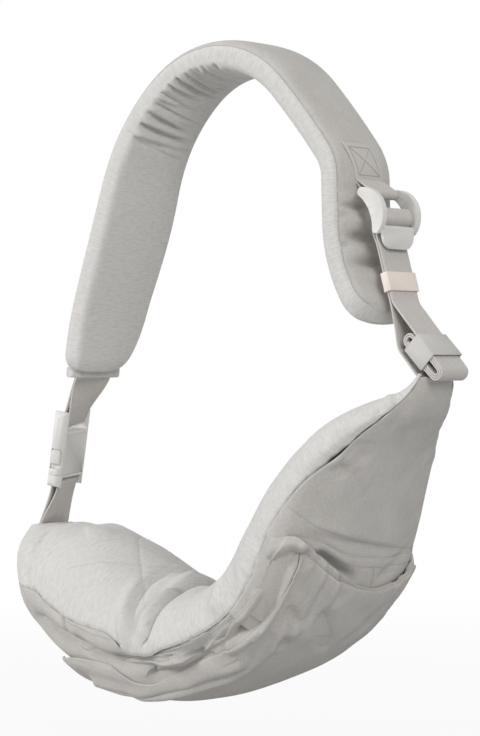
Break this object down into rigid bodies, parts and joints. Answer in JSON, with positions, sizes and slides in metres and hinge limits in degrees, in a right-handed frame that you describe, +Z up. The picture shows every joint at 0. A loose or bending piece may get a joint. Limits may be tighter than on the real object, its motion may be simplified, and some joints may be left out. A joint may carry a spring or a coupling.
{
  "type": "baby sling carrier",
  "caption": "One-shoulder padded sling: arched shoulder pad, side-release buckle, ladder lock with adjuster strap, and a stuffed crescent seat pouch with an outer pocket.",
  "frame": {"origin": "top of the shoulder pad's inner face, where the sling rests on the shoulder", "axes": "+Z up; the loop lies in the XZ plane with the buckle on -X and the ladder lock on +X; Y runs across the straps"},
  "size_m": [0.5147, 0.2024, 0.6117],
  "materials": {
    "jersey": "melange jersey",
    "woven": "smooth woven cotton",
    "padding": "soft foam",
    "webbing": "ribbed webbing",
    "plastic": "fine matte",
    "keeper": "smooth",
    "elastic": "knitted elastic"
  },
  "bodies": {
    "sling": {"pad_foam": "padding", "pad_lining": "jersey", "pad_shell": "woven", "pad_end_binding": "jersey", "buckle_webbing_upper": "webbing", "buckle_socket": "plastic", "buckle_webbing_lower": "webbing", "anchor_webbing": "webbing", "adjuster_strap_load": "webbing", "adjuster_strap_tail": "webbing", "strap_roll": "webbing", "pouch_padding": "padding", "pouch_lining": "jersey", "pouch_shell": "woven", "pouch_pocket": "woven", "pocket_hem": "woven", "pouch_sleeve_buckle": "woven", "pouch_sleeve_lock": "woven"},
    "plug": {"buckle_plug": "plastic"},
    "prong_near": {"buckle_prong_near": "plastic"},
    "prong_far": {"buckle_prong_far": "plastic"},
    "ladder_lock": {"ladder_lock": "plastic", "adjuster_strap_bight": "webbing"},
    "strap_keeper": {"strap_keeper": "keeper"},
    "tail_elastic": {"tail_elastic": "elastic"}
  },
  "joints": [
    {"name": "plug_slide", "type": "slide", "parent": "sling", "child": "plug", "axis": [-0.1736, 0, -0.9848], "range_m": [0, 0.036], "deforming": ["buckle_webbing_lower", "buckle_prong_near", "buckle_prong_far"]},
    {"name": "prong_near_squeeze", "type": "hinge", "parent": "plug", "child": "prong_near", "pos_m": [-0.22689, -0.0213, -0.37553], "axis": [-0.9366, -0.309, 0.1651], "range_deg": [0, 7], "stiffness_Nm_per_rad": 0.6},
    {"name": "prong_far_squeeze", "type": "hinge", "parent": "plug", "child": "prong_far", "pos_m": [-0.24052, 0.0213, -0.37312], "axis": [0.9366, 0.309, -0.1651], "range_deg": [0, 7], "stiffness_Nm_per_rad": 0.6},
    {"name": "ladder_lock_tilt", "type": "hinge", "parent": "sling", "child": "ladder_lock", "pos_m": [0.166, 0, -0.12], "axis": [0, -1, 0], "range_deg": [0, 40]},
    {"name": "keeper_slide", "type": "slide", "parent": "sling", "child": "strap_keeper", "axis": [0.2782, 0, -0.9605], "range_m": [-0.016, 0.005]},
    {"name": "elastic_slide", "type": "slide", "parent": "sling", "child": "tail_elastic", "axis": [0.7071, 0, -0.7071], "range_m": [0, 0.008]}
  ]
}
